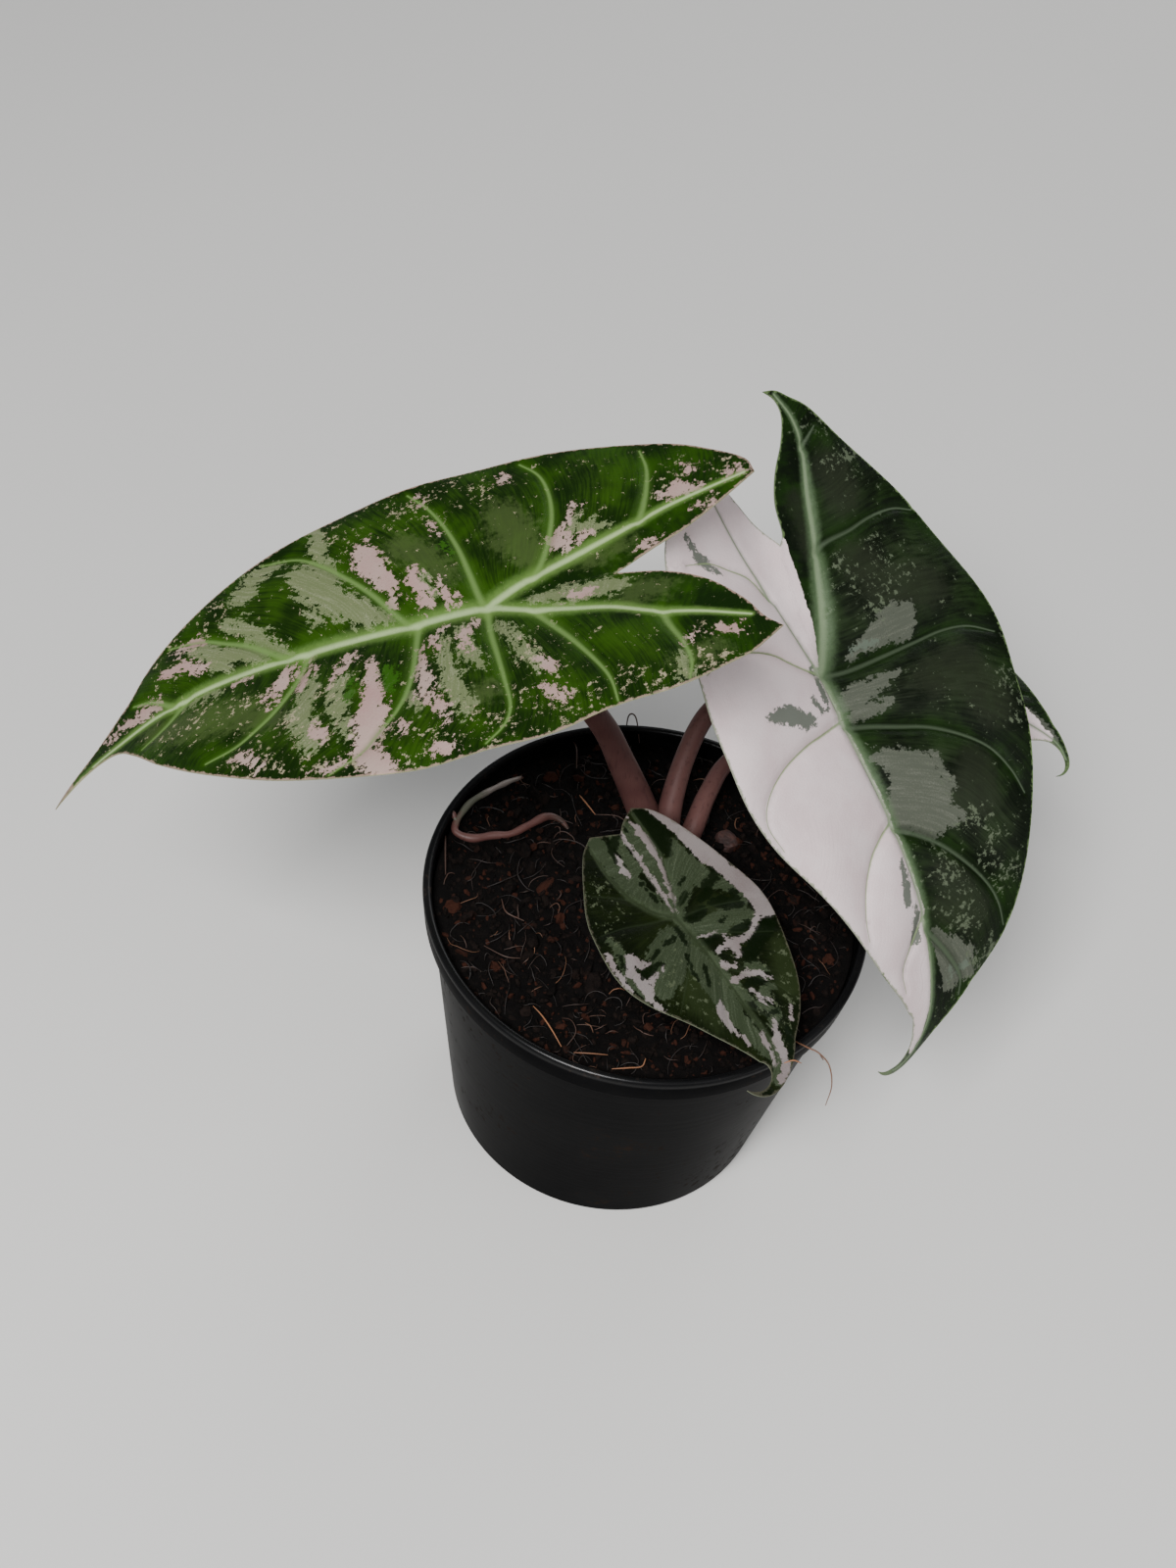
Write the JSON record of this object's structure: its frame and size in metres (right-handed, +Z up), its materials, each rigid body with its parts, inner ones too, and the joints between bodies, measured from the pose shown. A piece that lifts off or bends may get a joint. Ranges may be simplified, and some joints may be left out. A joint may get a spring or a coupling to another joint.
{
  "type": "potted variegated alocasia",
  "caption": "Potted alocasia with arrow-shaped variegated leaves on pinkish stalks, in a black nursery pot; stands on any level surface.",
  "frame": {"origin": "middle of the pot's underside, on the surface it stands on", "axes": "+Z up; +Y to the back of the plant as pictured and +X to its right"},
  "size_m": [0.2599, 0.1647, 0.2085],
  "materials": {
    "pot_plastic": "smooth moulded plastic, slightly glossy lip",
    "potting_mix": "dark crumbly coco and peat",
    "crown_skin": "matt, ringed by old leaf scars",
    "stalk_skin": "smooth, satin",
    "root_skin": "matt, white at its fresh end",
    "bark": "rough",
    "leaf_green_pink": "glossy leaf, green with pink flames",
    "leaf_half_moon": "glossy leaf, one half pinkish white and one dark green",
    "leaf_marbled": "glossy leaf, marbled olive, sage and white",
    "leaf_dark": "glossy leaf, dark green with pale patches"
  },
  "bodies": {
    "root": {"nursery_pot": "pot_plastic", "potting_mix": "potting_mix", "crown": "crown_skin", "stalk_left": "stalk_skin", "stalk_half_moon": "stalk_skin", "stalk_back": "stalk_skin", "stalk_front": "stalk_skin", "surface_root": "root_skin", "bark_chip": "bark", "blade_left": "leaf_green_pink", "blade_half_moon": "leaf_half_moon", "blade_front": "leaf_marbled", "blade_back": "leaf_dark"}
  },
  "joints": []
}
